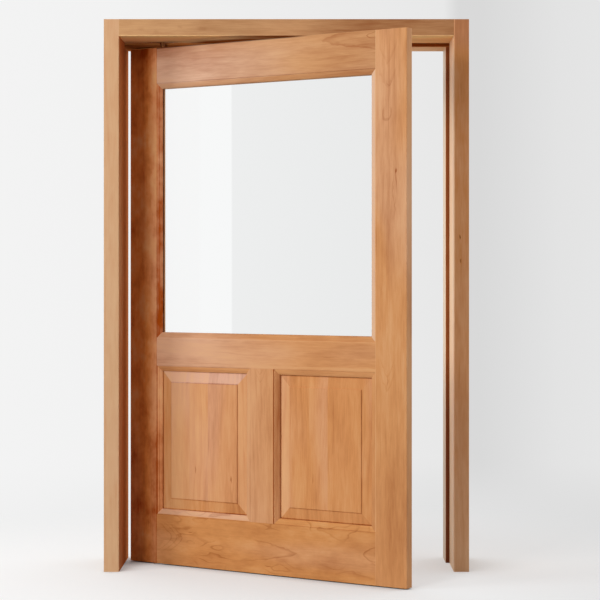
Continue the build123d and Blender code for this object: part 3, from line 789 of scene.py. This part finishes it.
# The floor's tone falls from left to right: painted shade
floor_left, floor_right, floor_span = grey(242), grey(220), (-1.6, 2.6)
floor_paint, floor_lift = grey(182), 0.5
near_reach, wide_reach, shade_samples = 0.12, 0.45, 8
near_span, wide_span = (0.1, 0.95), (0.0, 0.9)
left_of_frame, by_latch_jamb, inside_frame = (-0.19, -0.225), (0.98, 1.06), (1.21, 1.19)
paint_out, floor_out = (0.9, 2.2), (1.5, 4.8)


def floor_mesh():
    """A flat disc of rings: x and y are the ring's radius times the cosine and sine of the turn."""
    radius = np.linspace(0.0, floor_radius, floor_rings)
    turn = np.linspace(0.0, 2 * np.pi, floor_turns + 1)[:-1]
    across, along = np.meshgrid(turn, radius)
    x, y = floor_middle + along * np.cos(across), along * np.sin(across)
    points = np.stack([x, y, np.zeros_like(along)], -1).reshape(-1, 3)
    row, place = np.meshgrid(np.arange(floor_rings - 1), np.arange(floor_turns), indexing="ij")
    after = (place + 1) % floor_turns
    inner, outer = row * floor_turns, (row + 1) * floor_turns
    faces = np.stack([inner + place, outer + place, outer + after, inner + after], -1).reshape(-1, 4)
    mesh = bpy.data.meshes.new("pale_floor")
    mesh.from_pydata(points.tolist(), [], faces.tolist())
    mesh.update()
    return mesh


def floor_shade(f, x):
    """Share of light near what stands on the floor: a narrow shade under the door and between the
    jambs, none left of the frame and a wide one right of it."""
    near_air, wide_air = (
        f.node("AmbientOcclusion", {"Distance": reach}, samples=shade_samples).outputs["AO"]
        for reach in (near_reach, wide_reach)
    )
    outside = f.larger(f.ease(x, *left_of_frame), f.ease(x, *by_latch_jamb))
    foot_shade = f.larger(f.ease(near_air, *near_span), outside)
    side_shade = f.larger(f.ease(wide_air, *wide_span), f.ease(x, *inside_frame))
    return f.times(foot_shade, side_shade)


def pale_floor():
    """Pale floor that takes shadows near the door and fades into the backdrop."""
    mesh = floor_mesh()
    floor = bpy.data.objects.new("pale_floor", mesh)
    scene.collection.objects.link(floor)

    material, f = new_finish("pale_floor_paint")
    x, y, _ = f.axes(f.place())
    tones = f.mix(f.ease(x, *floor_span), floor_left, floor_right)
    seen = seen_ray(f)
    paint = f.node("BsdfDiffuse", {"Color": floor_paint})
    lift_share = f.times(floor_shade(f, x), f.scaled(seen, floor_lift))
    lift = f.node("Emission", {"Color": tones, "Strength": lift_share})
    near = f.node("AddShader", {0: paint.outputs[0], 1: lift.outputs[0]})
    flat = f.node("Emission", {"Color": tones, "Strength": seen})
    off = f.length(f.scaled(x, 1.0, -floor_middle), y)
    painted = f.blend(f.ease(off, *paint_out), near, flat)
    f.surface(f.blend(f.ease(off, *floor_out), painted, f.node("BsdfTransparent")))
    mesh.materials.append(material)


# Directions over which the soft light from the right and from behind the door comes in
from_right, from_behind = (-0.1, 0.7), (-0.1, 0.5)


def soft_room(level, right, behind):
    """World of soft light, stronger from the right and from behind the door by what is given.

    The camera sees it as a pale backdrop.
    """
    world = bpy.data.worlds.new("soft_room")
    scene.world = world
    world.use_nodes = True
    f = Finish(world.node_tree)
    x, y, z = f.axes(f.node("TexCoord").outputs["Generated"])
    strength = f.add(level, f.ease(x, *from_right, 0.0, right), f.ease(y, *from_behind, 0.0, behind))
    light = f.node("Background", {"Color": (1.0, 1.0, 1.0, 1.0), "Strength": strength})
    shown = f.node("Background", {"Color": backdrop_tone(f, x, y, z), "Strength": 1.0})
    made = f.node("OutputWorld")
    f.feed(made.inputs["Surface"], f.blend(seen_ray(f), light, shown).outputs[0])


def soft_lamp(name, place, target, size, power):
    """Oblong soft box, wide and tall as given, that faces a target."""
    lamp = bpy.data.lights.new(name, "AREA")
    lamp.shape = "RECTANGLE"
    lamp.size, lamp.size_y = size
    lamp.energy = power
    holder = bpy.data.objects.new(name, lamp)
    holder.location = place
    holder.rotation_euler = (Vector(target) - Vector(place)).to_track_quat("-Z", "Y").to_euler()
    holder.visible_glossy = holder.visible_transmission = False
    scene.collection.objects.link(holder)


door_middle = (0.5, -0.3, 1.1)

pale_floor()
soft_room(level=0.3, right=0.55, behind=0.8)
soft_lamp("front_window", (-2.5, -5.25, 2.35), door_middle, size=(1.6, 1.6), power=165.0)
soft_lamp("left_window", (-3.76, -2.29, 2.8), door_middle, size=(2.0, 2.0), power=85.0)

# Level camera, as fitted to the door's edges
camera = bpy.data.cameras.new("photo_camera")
camera.sensor_width = 36.0
camera.lens = 115.53
camera.shift_x = -0.01623
camera.shift_y = -0.0403
camera.clip_end = 200.0
stand = bpy.data.objects.new("photo_camera", camera)
stand.location = (0.58624, -7.669, 1.1462)
stand.rotation_euler = (radians(90), 0.0, 0.0)
scene.collection.objects.link(stand)
scene.camera = stand
